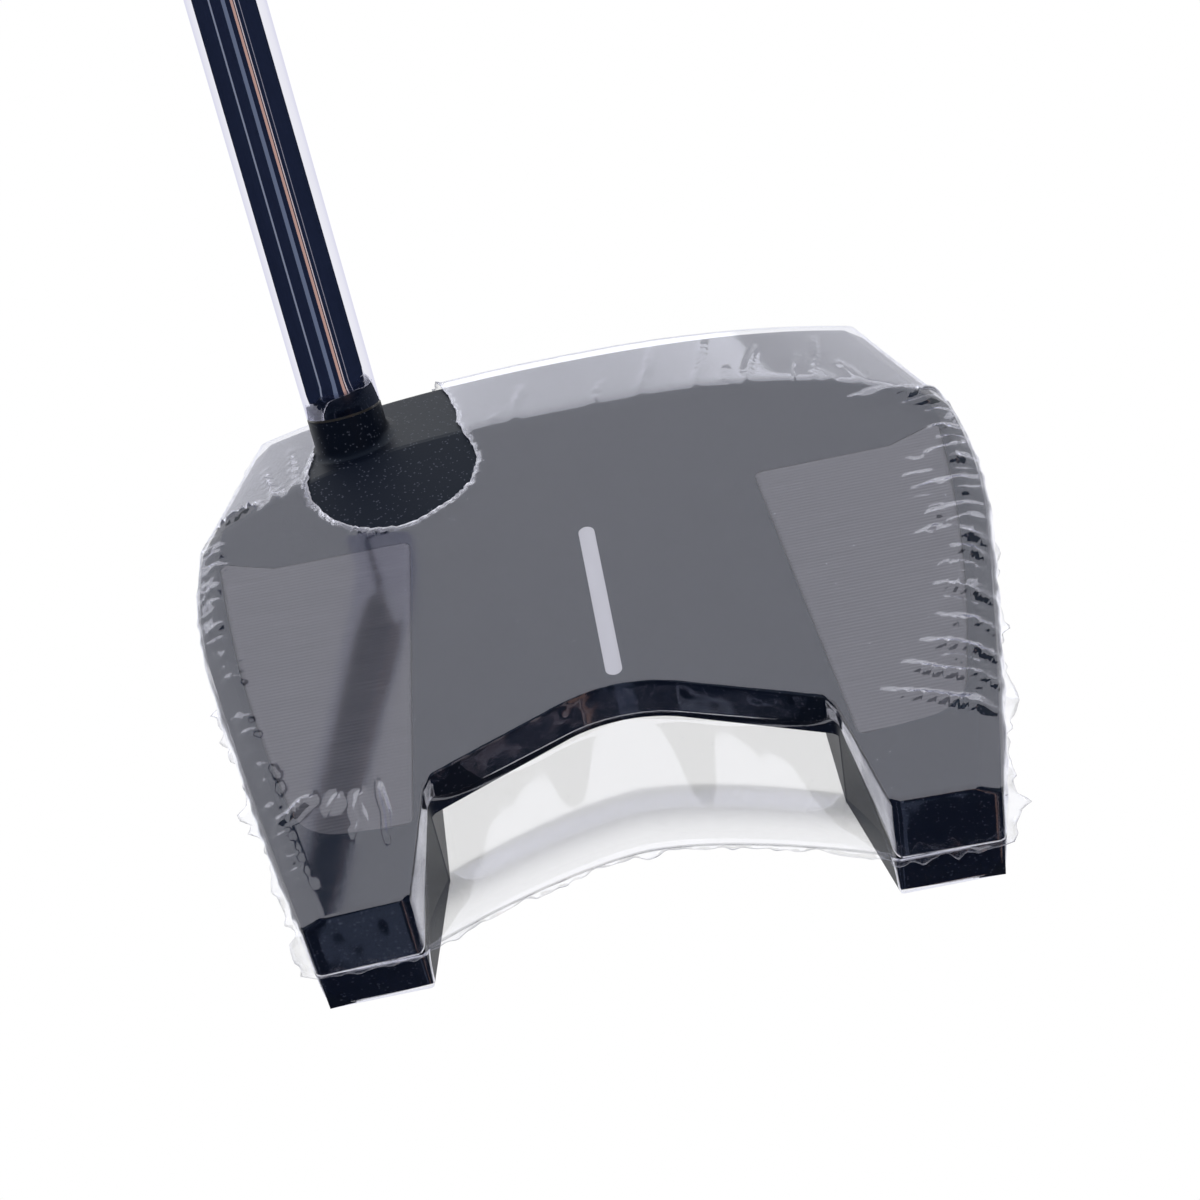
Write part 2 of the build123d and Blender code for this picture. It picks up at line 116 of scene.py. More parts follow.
dome_height = 76
surround = reflected_dome("dark_surround", 4.0, -100, 100, dome_height)
for name, first, last, colour in (
    ("brown_band", 19, 27, (0.5, 0.3, 0.24)),
    ("pale_band", 30, 33, (0.6, 0.52, 0.52)),
    ("blue_band", -8, 4, (0.1, 0.13, 0.2)),
    ("grey_band", -46, -41, (0.2, 0.23, 0.3)),
    ("thin_band", 44, 46, (0.25, 0.25, 0.3)),
):
    band = reflected_dome(name, 3.9, first, last, dome_height)
    glow = bpy.data.materials.new(name)
    glow.use_nodes = True
    glow_sockets = glow.node_tree.nodes["Principled BSDF"].inputs
    glow_sockets["Base Color"].default_value = (0, 0, 0, 1)
    glow_sockets["Emission Color"].default_value = (*colour, 1)
    glow_sockets["Emission Strength"].default_value = 1.0
    band.data.materials.append(glow)


def softbox(name, place, aim, width, height, strength, mirrored):
    """Adds an area light of that size at place, facing aim; mirrored says if reflections see it."""
    light = bpy.data.lights.new(name, "AREA")
    light.shape = "RECTANGLE"
    light.size = width
    light.size_y = height
    light.energy = strength
    lamp = bpy.data.objects.new(name, light)
    lamp.location = place
    lamp.rotation_euler = (Vector(aim) - Vector(place)).to_track_quat("-Z", "Y").to_euler()
    lamp.visible_glossy = mirrored
    bpy.context.scene.collection.objects.link(lamp)


softbox("top_softbox", (-0.5, 0.3, 1.9), (0, -0.02, 0.01), 1.2, 1.2, 9, False)
softbox("target_softbox", (0, 1.7, 0.8), (0, 0, 0.02), 3.6, 0.9, 10, True)

world = bpy.data.worlds.new("studio")
world.use_nodes = True
world.node_tree.nodes["Background"].inputs["Color"].default_value = (1.0, 1.0, 1.0, 1)
world.node_tree.nodes["Background"].inputs["Strength"].default_value = 1.0
bpy.context.scene.world = world


# ---------------------------------------------------------------- finishes
# Every finish below is worked out from places on the piece itself, in metres.
class Wire:
    """One shader socket. Arithmetic on wires adds Math nodes; numbers alone stay numbers."""

    def __init__(self, tree, socket):
        self.tree = tree
        self.socket = socket

    def maths(self, operation, a, b=None, clamp=False):
        node = self.tree.nodes.new("ShaderNodeMath")
        node.operation = operation
        node.use_clamp = clamp
        for place, value in enumerate((a, b)):
            if isinstance(value, Wire):
                self.tree.links.new(value.socket, node.inputs[place])
            elif value is not None:
                node.inputs[place].default_value = value
        return Wire(self.tree, node.outputs[0])

    def __add__(self, other):
        return self.maths("ADD", self, other)

    def __sub__(self, other):
        return self.maths("SUBTRACT", self, other)

    def __mul__(self, other):
        return self.maths("MULTIPLY", self, other)

    def __rsub__(self, other):
        return self.maths("SUBTRACT", other, self)

    def __lt__(self, other):
        return self.maths("LESS_THAN", self, other)

    def __gt__(self, other):
        return self.maths("GREATER_THAN", self, other)

    __radd__ = __add__
    __rmul__ = __mul__

    def clamped(self):
        return self.maths("ADD", self, 0.0, clamp=True)

    def sine(self):
        return self.maths("SINE", self)

    def power(self, other):
        return self.maths("POWER", self, other)


class Finish:
    """A material with one Principled shader, and short ways to add the nodes that feed it."""

    def __init__(self, name, **plain):
        self.material = bpy.data.materials.new(name)
        self.material.use_nodes = True
        self.tree = self.material.node_tree
        self.shader = self.tree.nodes["Principled BSDF"]
        self.set(**plain)

    def set(self, **values):
        """Gives the shader's sockets plain values or wires; an underscore stands for a space."""
        self.fill(self.shader, {name.replace("_", " "): value for name, value in values.items()})

    def fill(self, node, sockets):
        for name, value in sockets.items():
            if isinstance(value, Wire):
                self.tree.links.new(value.socket, node.inputs[name])
            else:
                node.inputs[name].default_value = value

    def add(self, kind, output, settings=None, sockets=None):
        """Adds a node of that kind, with its settings first and then its sockets."""
        node = self.tree.nodes.new("ShaderNode" + kind)
        for name, value in (settings or {}).items():
            setattr(node, name, value)
        self.fill(node, sockets or {})
        return Wire(self.tree, node.outputs[output])

    def place(self):
        """Position on the piece, in metres."""
        return self.add("TexCoord", "Object")

    def along(self, place):
        """The three coordinates of a place, as wires."""
        node = self.tree.nodes.new("ShaderNodeSeparateXYZ")
        self.tree.links.new(place.socket, node.inputs[0])
        return [Wire(self.tree, socket) for socket in node.outputs]

    def stored(self, name):
        """A number stored on the mesh's points under that name."""
        return self.add("Attribute", "Fac", {"attribute_name": name})

    def grain(self, place, scale, detail=2.0, roughness=0.5):
        """Soft noise from 0 to 1, with that many waves to the metre."""
        sockets = {"Vector": place, "Scale": scale, "Detail": detail, "Roughness": roughness}
        return self.add("TexNoise", "Fac", None, sockets)

    def stretched(self, place, x, y, z):
        """The place with its three coordinates multiplied."""
        return self.add("Mapping", "Vector", None, {"Vector": place, "Scale": (x, y, z)})

    def cells(self, place, scale, output="Distance"):
        """Cells, that many to the metre: the distance to the nearest middle, or each cell's own colour."""
        return self.add("TexVoronoi", output, None, {"Vector": place, "Scale": scale})

    def blend(self, fac, one, other):
        """Colour mix from one to other."""
        node = self.tree.nodes.new("ShaderNodeMix")
        node.data_type = "RGBA"
        for socket, value in ((node.inputs[0], fac), (node.inputs[6], one), (node.inputs[7], other)):
            if isinstance(value, Wire):
                self.tree.links.new(value.socket, socket)
            elif isinstance(value, tuple):
                socket.default_value = (*value, 1)
            else:
                socket.default_value = value
        return Wire(self.tree, node.outputs[2])

    def bump(self, height, strength, distance):
        """Surface relief from a height, at most distance deep."""
        sockets = {"Height": height, "Strength": strength, "Distance": distance}
        self.set(Normal=self.add("Bump", "Normal", None, sockets))

    def onto(self, *objects):
        for item in objects:
            item.data.materials.clear()
            item.data.materials.append(self.material)


paper = Finish("floor_paper", Roughness=0.85)
paper.set(Base_Color=paper.blend(paper.grain(paper.place(), 900.0), (0.86, 0.86, 0.87), (0.9, 0.9, 0.9)))
paper.onto(floor)

# The surround is near-black navy cloth that scatters almost nothing.
cloth = Finish("dark_cloth", Roughness=1.0, Specular_IOR_Level=0.0)
weave = cloth.grain(cloth.place(), 14.0, 3.0)
cloth.set(Base_Color=cloth.blend(weave, (0.008, 0.012, 0.03), (0.016, 0.022, 0.045)))
cloth.onto(surround)

# ---------------------------------------------------------------- head body
# One piece of milled aluminium: wings, prongs, centre shelf and hosel collar, blasted and finished satin
# black. The finish has a fine sparkle and a faint mottle, over the grain that the blasting leaves.
black = Finish("head_black", Specular_IOR_Level=0.17, Specular_Tint=(0.62, 0.78, 1.0, 1))
spot = black.place()
sparkle = black.cells(spot, 5200.0, "Color")
flake = black.along(sparkle)[0]
mottle = black.grain(spot, 60.0, 4.0)
ground = black.blend(mottle, (0.0015, 0.003, 0.008), (0.003, 0.005, 0.012))
black.set(
    Base_Color=black.blend((flake > 0.965) * 0.25, ground, (0.14, 0.15, 0.2)),
    Roughness=0.36 + 0.1 * mottle,
)
black.bump(black.grain(spot, 2600.0, 2.0), 0.3, 0.00002)
black.onto(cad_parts["head_body"])


def add_mesh(name, points, faces, finish, smooth=True):
    """Makes a finished piece of the club from its points and faces, riding on the club's one body."""
    mesh = bpy.data.meshes.new(name)
    mesh.from_pydata(points.tolist(), [], faces.tolist())
    mesh.validate()
    mesh.polygons.foreach_set("use_smooth", np.full(len(mesh.polygons), smooth))
    piece = bpy.data.objects.new(name, mesh)
    bpy.context.scene.collection.objects.link(piece)
    finish.onto(piece)
    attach(piece, "root")
    return piece


# ---------------------------------------------------------------- wing panels
# Two thin aluminium panels, let flush into the top and dark anodised. Their faces are fly-cut in fine rows
# parallel to the club's face, half a millimetre apart, so the rows are cut into the mesh.
top_fall = math.tan(math.radians(4.0))
top_height = 23.5 * MM


def top_z(y):
    """Height of the head's top plane at y."""
    return top_height + top_fall * y


def arc_x(y, first, middle, last):
    """X at y on the circle through three (x, y) points, on the side that bulges towards +X."""
    (ax, ay), (bx, by), (cx, cy) = first, middle, last
    turn = 2 * (ax * (by - cy) + bx * (cy - ay) + cx * (ay - by))
    a, b, c = ax**2 + ay**2, bx**2 + by**2, cx**2 + cy**2
    centre_x = (a * (by - cy) + b * (cy - ay) + c * (ay - by)) / turn
    centre_y = (a * (cx - bx) + b * (ax - cx) + c * (bx - ax)) / turn
    radius = math.hypot(ax - centre_x, ay - centre_y)
    return centre_x + np.sqrt(np.maximum(radius**2 - (y - centre_y) ** 2, 0))


def cut_slab(name, rows, low, high, put, relief, thick, finish):
    """A closed plate whose face is cut in rows. Each row runs between low and high; put(across, row, depth)
    places a point; the face lies relief below its plane, and a thin soft rim falls to the flat underside."""
    share = np.concatenate(([0, 0], np.linspace(0, 1, 31), [1, 1]))
    across = low[:, None] + (high - low)[:, None] * share[None, :]
    depth = np.repeat(relief[:, None], len(share), axis=1)
    depth[:, [1, -2]] += 0.05 * MM
    depth[:, [0, -1]] = thick
    row = np.repeat(rows[:, None], len(share), axis=1)
    across, row, depth = [np.pad(grid, ((1, 1), (0, 0)), mode="edge") for grid in (across, row, depth)]
    depth[[0, -1]] = thick
    points = put(across, row, depth)
    count, columns = across.shape
    left = np.arange(count - 1) * columns
    under = np.stack([left, left + columns, left + 2 * columns - 1, left + columns - 1], axis=1)
    faces = np.concatenate([grid_faces(count, columns), under])
    piece = add_mesh(name, points.reshape(-1, 3), faces, finish)
    face_outwards(piece.data)
    return piece


def face_outwards(mesh):
    """Joins points that share a place, and turns every face outwards."""
    work = bmesh.new()
    work.from_mesh(mesh)
    bmesh.ops.remove_doubles(work, verts=work.verts, dist=1e-7)
    bmesh.ops.recalc_face_normals(work, faces=work.faces)
    work.to_mesh(mesh)
    work.free()


panel_y = np.linspace(-9.3, -56.6, 569)
panel_front = -11.6
behind_front = panel_front - panel_y
inner_corner = 1.0 - np.sqrt(1 - (1 - behind_front.clip(0, 1)) ** 2)
panel_inner = 22.4 + 3.9 * behind_front / 45.3 + inner_corner
panel_inner = np.where(behind_front < 0, 40.0 - 7.0 * behind_front / 2.6, panel_inner)
panel_outer = arc_x(panel_y, (47.0, -9.0), (45.1, -29.0), (40.6, -50.4))
panel_corner = 47.0 - 0.7 * (1 - (-9.3 - panel_y).clip(0, 1)) ** 2
rear_share = ((-50.4 - panel_y) / 6.25).clip(0, 1)
panel_rear = 33.0 + 7.6 * np.sqrt(1 - rear_share**2)
panel_outer = np.minimum(np.minimum(panel_outer, panel_corner), np.where(panel_y < -50.4, panel_rear, 60))
panel_rows = 0.035 * MM * (0.5 - 0.5 * np.cos(2 * math.pi * panel_y / 0.5))


def put_panel(side):
    """Places a panel's points on the top plane, at the heel for -1 and at the toe for +1."""
    return lambda x, y, depth: np.stack([side * x * MM, y * MM, top_z(y * MM) - depth], axis=-1)


anodised = Finish("panel_anodised", Metallic=0.85, Roughness=0.34)
spot = anodised.place()
streak = anodised.grain(anodised.stretched(spot, 60.0, 3000.0, 60.0), 1.0, 3.0, 0.6)
speck = anodised.grain(spot, 2400.0, 3.0, 0.6)
anodised.set(
    Base_Color=anodised.blend(streak, (0.055, 0.055, 0.068), (0.12, 0.12, 0.14)),
    Roughness=0.28 + 0.16 * speck,
)
anodised.bump(streak + 0.4 * speck, 0.3, 0.00002)
for name, side in (("heel_wing_panel", -1), ("toe_wing_panel", 1)):
    panel = cut_slab(
        f"{name}_milled", panel_y, panel_inner, panel_outer, put_panel(side), panel_rows, 1.2 * MM,
        anodised,
    )
    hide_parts(name)

tape = Finish("adhesive_tape", Roughness=0.4)
spot = tape.place()
tape.set(Base_Color=tape.blend(tape.grain(spot, 500.0, 3.0), (0.62, 0.58, 0.44), (0.78, 0.74, 0.6)))
tape.bump(tape.grain(spot, 1500.0), 0.3, 0.00005)
tape.onto(*[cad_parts[name] for name in ("heel_panel_tape", "toe_panel_tape", "insert_tape")])

# ---------------------------------------------------------------- sightline
# A slot along the line of play, filled with white enamel a hair below the top. The enamel is matt, and a
# little uneven where it was wiped level.
enamel = Finish("sightline_enamel", Specular_IOR_Level=0.3)
spot = enamel.place()
wipe = enamel.grain(enamel.stretched(spot, 900.0, 120.0, 900.0), 1.0, 3.0)
enamel.set(Base_Color=enamel.blend(wipe, (0.4, 0.4, 0.45), (0.5, 0.5, 0.56)), Roughness=0.45 + 0.2 * wipe)
enamel.bump(wipe, 0.3, 0.00004)
enamel.onto(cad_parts["sightline_fill"])

# ---------------------------------------------------------------- sole plate, pad, screws and weights
# A brushed steel plate held by four countersunk screws over a soft damping pad, and a turned weight screwed
# in at heel and toe over a nylon washer.
brushed = Finish("sole_plate_steel", Metallic=1.0)
spot = brushed.place()
lines = brushed.grain(brushed.stretched(spot, 40.0, 9000.0, 40.0), 1.0, 4.0, 0.7)
brushed.set(
    Base_Color=brushed.blend(lines, (0.4, 0.4, 0.42), (0.62, 0.62, 0.64)), Roughness=0.24 + 0.2 * lines
)
brushed.bump(lines, 0.35, 0.00002)
brushed.onto(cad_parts["sole_plate"])

oxide = Finish("screw_steel", Metallic=1.0)
spot = oxide.place()
wear = oxide.grain(spot, 1800.0, 4.0)
oxide.set(Base_Color=oxide.blend(wear, (0.05, 0.05, 0.06), (0.2, 0.2, 0.21)), Roughness=0.3 + 0.2 * wear)
oxide.bump(wear, 0.2, 0.00002)
oxide.onto(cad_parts["sole_plate_screws"])

for name in ("heel_sole_weight", "toe_sole_weight"):
    low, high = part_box(name)
    middle = (low + high) / 2
    turned = Finish(f"weight_{name}", Metallic=1.0)
    spot = turned.place()
    x, y, z = turned.along(spot)
    around = ((x - middle.x) * (x - middle.x) + (y - middle.y) * (y - middle.y)).power(0.5)
    turning = 0.5 + 0.5 * (around * (2 * math.pi / 0.00025)).sine()
    turned.set(
        Base_Color=turned.blend(turning, (0.3, 0.3, 0.32), (0.44, 0.44, 0.46)),
        Roughness=0.22 + 0.1 * turned.grain(spot, 900.0, 3.0),
    )
    turned.bump(turning, 0.25, 0.00003)
    turned.onto(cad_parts[name])

nylon = Finish("nylon_washer", Roughness=0.5)
nylon.set(Base_Color=nylon.blend(nylon.grain(nylon.place(), 700.0), (0.74, 0.73, 0.68), (0.84, 0.83, 0.79)))
nylon.onto(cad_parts["heel_weight_washer"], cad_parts["toe_weight_washer"])

pad = Finish("damping_rubber", Roughness=0.75)
spot = pad.place()
pad.set(Base_Color=pad.blend(pad.grain(spot, 900.0, 3.0), (0.02, 0.02, 0.022), (0.05, 0.05, 0.055)))
pad.bump(pad.grain(spot, 2500.0), 0.3, 0.00005)
pad.onto(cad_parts["damping_pad"])

# ---------------------------------------------------------------- face insert
# A firm urethane plate bonded into the face, with shallow grooves milled across it to grip the ball.
insert_loft = math.radians(3.0)
insert_middle = Vector((0, 20.9, 11.0)) * MM
insert_half = 7.0
insert_rows = np.linspace(-insert_half + 0.02, insert_half - 0.02, 281)
corner_rise = (np.abs(insert_rows) - 1.5).clip(0, None)
insert_edge = 27.5 + np.sqrt(5.5**2 - corner_rise**2)
insert_groove = 0.14 * MM * (0.5 - 0.5 * np.cos(2 * math.pi * insert_rows / 1.1)).clip(0.25, 1) ** 2


def put_insert(x, row, depth):
    """Places the insert's points on the lofted face, which leans back."""
    y = insert_middle.y - math.sin(insert_loft) * row * MM - math.cos(insert_loft) * depth
    z = insert_middle.z + math.cos(insert_loft) * row * MM - math.sin(insert_loft) * depth
    return np.stack([x * MM, y, z], axis=-1)


urethane = Finish("insert_urethane", Roughness=0.5)
spot = urethane.place()
milk = urethane.grain(spot, 350.0, 4.0)
urethane.set(
    Base_Color=urethane.blend(milk, (0.03, 0.034, 0.042), (0.055, 0.06, 0.072)), Roughness=0.42 + 0.2 * milk
)
urethane.bump(urethane.grain(spot, 2600.0, 2.0), 0.25, 0.00003)
insert = cut_slab(
    "face_insert_grooved", insert_rows, -insert_edge, insert_edge, put_insert, insert_groove, 3.95 * MM,
    urethane,
)
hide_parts("face_insert")

# ---------------------------------------------------------------- hosel post and its adhesive
# A turned steel post pressed into the head's collar. The shaft slides over it, and the epoxy that holds it
# shows as a thin dark bead between collar and shaft.
turned_post = Finish("post_steel", Metallic=1.0)
spot = turned_post.place()
marks = turned_post.grain(turned_post.stretched(spot, 80.0, 80.0, 6000.0), 1.0, 3.0)
turned_post.set(
    Base_Color=turned_post.blend(marks, (0.36, 0.36, 0.38), (0.56, 0.56, 0.58)),
    Roughness=0.25 + 0.15 * marks,
)
turned_post.bump(marks, 0.3, 0.00002)
turned_post.onto(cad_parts["hosel_post"])

epoxy = Finish("epoxy", Coat_Weight=0.5)
spot = epoxy.place()
cure = epoxy.grain(spot, 1400.0, 3.0)
epoxy.set(
    Base_Color=epoxy.blend(cure, (0.012, 0.011, 0.01), (0.04, 0.036, 0.03)), Roughness=0.3 + 0.2 * cure
)
epoxy.bump(cure, 0.3, 0.00003)
epoxy.onto(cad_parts["shaft_bond"])

# ---------------------------------------------------------------- shaft
# A drawn steel tube, chrome plated: a straight stretch up from the collar, one bend, and a long taper up to
# the butt. It is drawn over a mandrel, so faint lengthwise lines show in the plate.
lean, sway, lie = math.radians(25.0), math.radians(3.25), math.radians(70.0)
post_way = np.array([-math.sin(sway), math.cos(sway) * math.sin(lean), math.cos(sway) * math.cos(lean)])
upper_way = np.array([-math.cos(lie), 0.0, math.sin(lie)])
collar_height, bead_height = 3.9 * MM, 0.35 * MM
shaft_foot = np.array([-28.5, 11.8, 22.6]) * MM + post_way * (collar_height + bead_height)
tip_radius = 5.1 * MM
lower_length = 62 * MM
bend_radius = 60 * MM
wall = 0.6 * MM
butt_radius = 7.4 * MM
bend_angle = math.acos(post_way @ upper_way)
bend_side = upper_way - post_way * (post_way @ upper_way)
bend_side /= np.linalg.norm(bend_side)
bend_foot = shaft_foot + post_way * lower_length
bend_head = bend_foot + bend_side * bend_radius * (1 - math.cos(bend_angle))
bend_head = bend_head + post_way * bend_radius * math.sin(bend_angle)
club_length, cap_thick = 864 * MM, 4 * MM
upper_length = club_length - cap_thick - bend_head[2] / upper_way[2]


def shaft_line(count_low, count_bend, count_up):
    """Places and directions along the shaft's middle: a straight run, an arc that turns evenly from the
    post's direction to the upper shaft's, and a straight run."""
    low = shaft_foot + post_way * lower_length * np.linspace(0, 1, count_low, endpoint=False)[:, None]
    turn = bend_angle * np.linspace(0, 1, count_bend, endpoint=False)[:, None]
    bend = bend_foot + bend_side * bend_radius * (1 - np.cos(turn)) + post_way * bend_radius * np.sin(turn)
    bend_way = post_way * np.cos(turn) + bend_side * np.sin(turn)
    high = bend_head + upper_way * upper_length * np.linspace(0, 1, count_up)[:, None]
    places = np.concatenate([low, bend, high])
    ways = np.concatenate([np.tile(post_way, (count_low, 1)), bend_way, np.tile(upper_way, (count_up, 1))])
    return places, ways


def rings(places, ways, radii, columns):
    """Points of rings round a line, each in the plane across the line at its place. radii is one number per
    place for a circle, or one per place and column, counted round from the +X side."""
    out = np.cross(np.array([0.0, 1.0, 0.0]), ways)
    out /= np.linalg.norm(out, axis=1)[:, None]
    beside = np.cross(ways, out)
    angle = np.linspace(0, 2 * math.pi, columns, endpoint=False)
    radii = np.asarray(radii)
    radii = radii[:, None] * np.ones(columns) if radii.ndim == 1 else radii
    circle = np.cos(angle)[None, :, None] * out[:, None, :]
    circle = circle + np.sin(angle)[None, :, None] * beside[:, None, :]
    return places[:, None, :] + radii[..., None] * circle


def hollow_piece(name, outer, inner, finish):
    """A closed tube wall from its outer and inner rings, joined at both mouths."""
    grid = np.concatenate([outer, inner[::-1], outer[:1]])
    rows, columns = grid.shape[:2]
    faces = grid_faces(rows, columns, closed=True)
    piece = add_mesh(name, grid.reshape(-1, 3), faces, finish)
    face_outwards(piece.data)
    return piece


chrome = Finish("shaft_chrome", Metallic=1.0, Specular_Tint=(0.8, 0.8, 0.9, 1))
spot = chrome.place()
drawn = chrome.grain(chrome.stretched(spot, 2600.0, 2600.0, 12.0), 1.0, 3.0, 0.6)
haze = chrome.grain(spot, 90.0, 4.0)
chrome.set(
    Base_Color=chrome.blend(haze, (0.8, 0.8, 0.87), (0.86, 0.86, 0.93)), Roughness=0.02 + 0.04 * haze * drawn
)
chrome.bump(drawn, 0.12, 0.000004)
places, ways = shaft_line(14, 28, 60)
above = np.clip(((places - bend_head) @ upper_way) / upper_length, 0, 1)
radii = tip_radius + (butt_radius - tip_radius) * above
shaft_columns = 96
shaft_outer = rings(places, ways, radii, shaft_columns)
shaft_inner = rings(places, ways, radii - wall, shaft_columns)
shaft = hollow_piece("shaft_tube", shaft_outer, shaft_inner, chrome)
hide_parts("shaft")

# ---------------------------------------------------------------- grip
# A moulded rubber pistol grip slid on over tape: round at the back, flat for the thumbs, thicker at the top
# of the back, with a field of small raised lozenges round the back and fine grooves down the flat.
grip_length = 267 * MM
grip_foot = upper_length - grip_length + cap_thick
grip_run = upper_length - grip_foot


def eased(share, values):
    """Smooth values along the grip: the stations' values, joined by a cosine of the share between them."""
    stations = np.array([0, 0.35, 0.7, 0.88, 1.0])
    place = np.interp(share, stations, np.arange(len(stations)))
    low = np.floor(place).clip(0, len(stations) - 2).astype(int)
    turn = 0.5 - 0.5 * np.cos(math.pi * (place - low))
    values = np.array(values)
    return values[low] * (1 - turn) + values[low + 1] * turn


def grip_radii(share, angle):
    """Distance from the shaft's middle to the grip's surface: a circle that swells by a cosine towards the
    back, cut by the thumb flat, with lozenges where two slanting families of waves both rise."""
    radius = eased(share, [11.0, 12.2, 13.2, 14.5, 14.5])[:, None]
    swell = eased(share, [0, 0.4, 1.6, 3.2, 2.0])[:, None]
    back = (0.5 - 0.5 * np.cos(angle))[None, :]
    round_part = radius + swell * back**1.5
    flat = 0.78 * radius / np.maximum(np.cos(angle), 0.05)[None, :]
    flat = np.where(np.cos(angle) > 0.05, flat, 60)
    sharpness = 3.0
    shape = -np.log(np.exp(-sharpness * round_part) + np.exp(-sharpness * flat)) / sharpness
    length = share[:, None] * grip_run / MM
    one = np.sin(15 * angle[None, :] + 1.35 * length)
    other = np.sin(15 * angle[None, :] - 1.35 * length)
    field = np.abs(angle - math.pi)[None, :] < 2.1
    ends = np.clip((share - 0.04) / 0.02, 0, 1) * np.clip((0.965 - share) / 0.02, 0, 1)
    lozenge = 0.28 * np.clip(one * other, 0, None) ** 0.6 * field * ends[:, None]
    groove = 0.09 * np.sin(60 * np.sin(angle))[None, :] * (np.cos(angle) > 0.72)[None, :] * ends[:, None]
    lip = 0.5 * np.exp(-(((share - 0.012) / 0.008) ** 2)) - 0.9 * np.exp(-((share / 0.004) ** 2))
    return (shape - 0.18 + lozenge + groove + lip[:, None]) * MM


rubber = Finish("grip_rubber", Specular_IOR_Level=0.35)
spot = rubber.place()
bloom = rubber.grain(spot, 140.0, 4.0)
rubber.set(
    Base_Color=rubber.blend(bloom, (0.010, 0.010, 0.012), (0.026, 0.026, 0.029)),
    Roughness=0.62 + 0.2 * bloom,
)
rubber.bump(rubber.grain(spot, 3200.0, 3.0), 0.4, 0.00006)
share = np.concatenate([np.linspace(0, 0.03, 14, endpoint=False), np.linspace(0.03, 1, 420)])
grip_columns = 180
angle = np.linspace(0, 2 * math.pi, grip_columns, endpoint=False)
grip_places = bend_head + upper_way * (grip_foot + share * grip_run)[:, None]
grip_ways = np.tile(upper_way, (len(share), 1))
grip_outer = rings(grip_places, grip_ways, grip_radii(share, angle), grip_columns)
tape_room = 0.27 * MM
bore = tip_radius + (butt_radius - tip_radius) * (grip_foot + share * grip_run) / upper_length + tape_room
inner_rows = np.append(np.arange(0, len(share), 40), len(share) - 1)
grip_inner = rings(grip_places, grip_ways, bore, grip_columns)[inner_rows]
grip = hollow_piece("grip_moulded", grip_outer, grip_inner, rubber)
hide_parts("grip")

cap_finish = Finish("cap_plastic", Roughness=0.5)
spot = cap_finish.place()
cap_finish.set(
    Base_Color=cap_finish.blend(
        cap_finish.grain(spot, 300.0, 3.0), (0.014, 0.014, 0.016), (0.03, 0.03, 0.033)
    )
)
cap_finish.bump(cap_finish.grain(spot, 2800.0, 3.0), 0.35, 0.00005)
cap_finish.onto(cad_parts["grip_cap"])

paper_tape = Finish("grip_tape", Roughness=0.8)
spot = paper_tape.place()
weave = paper_tape.grain(paper_tape.stretched(spot, 900.0, 900.0, 2200.0), 1.0, 3.0)
paper_tape.set(Base_Color=paper_tape.blend(weave, (0.7, 0.68, 0.6), (0.82, 0.8, 0.72)))
paper_tape.bump(weave, 0.4, 0.00005)
paper_tape.onto(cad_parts["grip_tape"])

# ---------------------------------------------------------------- shrink film
# A bag of clear film shrunk round the head and welded along a seam just under half way up. It lies tight on
# the flat top, pleats where it turns over the rims, spans the notch between the prongs as a web, and is
# torn open round the hosel. All plan sizes here are in millimetres, turned to metres at the end.
film_gap = 0.16
seam_height = 9.6
wing_front = ((49.3, -5.0), (50.1, -15.0), (48.8, -28.0))
wing_rear = ((48.8, -28.0), (45.4, -45.0), (40.2, -68.0))


def wing_x(y):
    """Half width of the head at y: a straight shoulder, then the wings' two arcs."""
    shoulder = 42.3 + 7.0 * (21.9 - y) / 26.9
    return np.where(y > -5, shoulder, np.where(y > -28, arc_x(y, *wing_front), arc_x(y, *wing_rear)))


def head_top(x, y):
    """Height of the head's upper surface: the falling top plane, the strip that drops from the ridge to the
    topline, and the bevel along the wings, joined by a soft minimum."""
    plane = 23.5 + top_fall * y
    reach = np.abs(x)
    ridge = 7.2 - 12.2 * (reach / 49.3) ** 3
    topline = 22.0 - 5.0 * (reach / 42.3) ** 2.3
    strip = (23.5 + top_fall * ridge) + (topline - 23.5 - top_fall * ridge) * (y - ridge) / (20.9 - ridge)
    inset = (wing_x(y) - reach).clip(0, 2.4)
    bevel = np.where(y < -5, 1.1 * (1 - inset / 2.4), 0.9 * (1 - (inset / 1.0).clip(0, 1)) ** 2)
    soft = 0.12
    return -soft * np.logaddexp(-plane / soft, -strip / soft) - bevel


def resampled(points, count):
    """The same path with that many points, evenly spaced along it."""
    steps = np.concatenate([[0], np.cumsum(np.linalg.norm(np.diff(points, axis=0), axis=1))])
    even = np.linspace(0, steps[-1], count)
    return np.stack([np.interp(even, steps, points[:, axis]) for axis in (0, 1)], axis=1)


notch_side = [(40.2, -67.8), (39.6, -68.0), (28.3, -67.6), (27.7, -67.0), (24.8, -52.4)]
notch_side += [(23.6, -50.2), (6.5, -43.3)]
apex = [(4.4, -42.65), (2.2, -42.3), (0.0, -42.2)]
rear_half = np.array(notch_side + apex)
rear_half = rear_half + film_gap * np.array([0.0, -1.0]) * (np.arange(len(rear_half)) < 3)[:, None]
rear_edge = np.concatenate([rear_half * [-1, 1], rear_half[::-1][1:]])
across_count, deep_count = 221, 151
rear_line = resampled(rear_edge, across_count)
front_y = 21.0 + film_gap
front_line = np.stack([42.4 * rear_line[:, 0] / 40.2, np.full(across_count, front_y)], axis=1)
side_y = np.linspace(rear_line[0, 1], front_y, deep_count)
side_line = np.stack([-(wing_x(side_y) + film_gap), side_y], axis=1)
side_line[0] = rear_line[0]
side_line[-1] = front_line[0]
